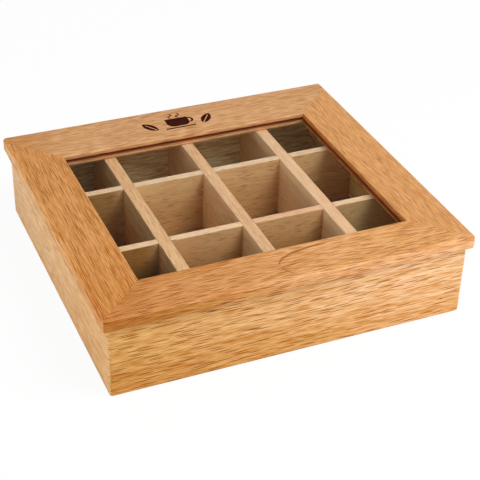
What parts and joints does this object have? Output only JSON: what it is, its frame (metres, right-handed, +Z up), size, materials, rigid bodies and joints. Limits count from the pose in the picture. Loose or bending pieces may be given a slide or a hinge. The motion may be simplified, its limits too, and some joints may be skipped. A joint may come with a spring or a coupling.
{
  "type": "tea bag organizer box",
  "caption": "Low wooden box divided into compartments for tea bags, with a hinged lid of mitred rails round a clear window.",
  "frame": {"origin": "on the table under the middle of the closed lid's outline", "axes": "+X to the right along the front, +Y to the rear where the hinges are, +Z up"},
  "size_m": [0.335, 0.31, 0.081],
  "materials": {
    "lid_wood": "satin clear varnish, orange-tan",
    "case_wood": "satin clear varnish, pale tan",
    "divider_wood": "satin clear varnish, pale tan",
    "panel_wood": "thin plywood, matt",
    "clear_pane": "clear, polished",
    "hinge_brass": "satin brass plate"
  },
  "bodies": {
    "box": {"front_board": "case_wood", "back_board": "case_wood", "left_board": "case_wood", "right_board": "case_wood", "bottom_panel": "panel_wood", "long_divider_left": "divider_wood", "long_divider_middle": "divider_wood", "long_divider_right": "divider_wood", "cross_divider_front": "divider_wood", "cross_divider_rear": "divider_wood", "hinge_left_lower_leaf": "hinge_brass", "hinge_right_lower_leaf": "hinge_brass", "hinge_left_pin": "hinge_brass", "hinge_right_pin": "hinge_brass", "hinge_lower_screws": "hinge_brass"},
    "lid": {"lid_front_rail": "lid_wood", "lid_rear_rail": "lid_wood", "lid_left_rail": "lid_wood", "lid_right_rail": "lid_wood", "window_pane": "clear_pane", "hinge_left_upper_leaf": "hinge_brass", "hinge_right_upper_leaf": "hinge_brass", "hinge_upper_screws": "hinge_brass"}
  },
  "joints": [
    {"name": "lid_hinge", "type": "hinge", "parent": "box", "child": "lid", "pos_m": [0, 0.151, 0.069], "axis": [-1, 0, 0], "range_deg": [0, 105]}
  ]
}
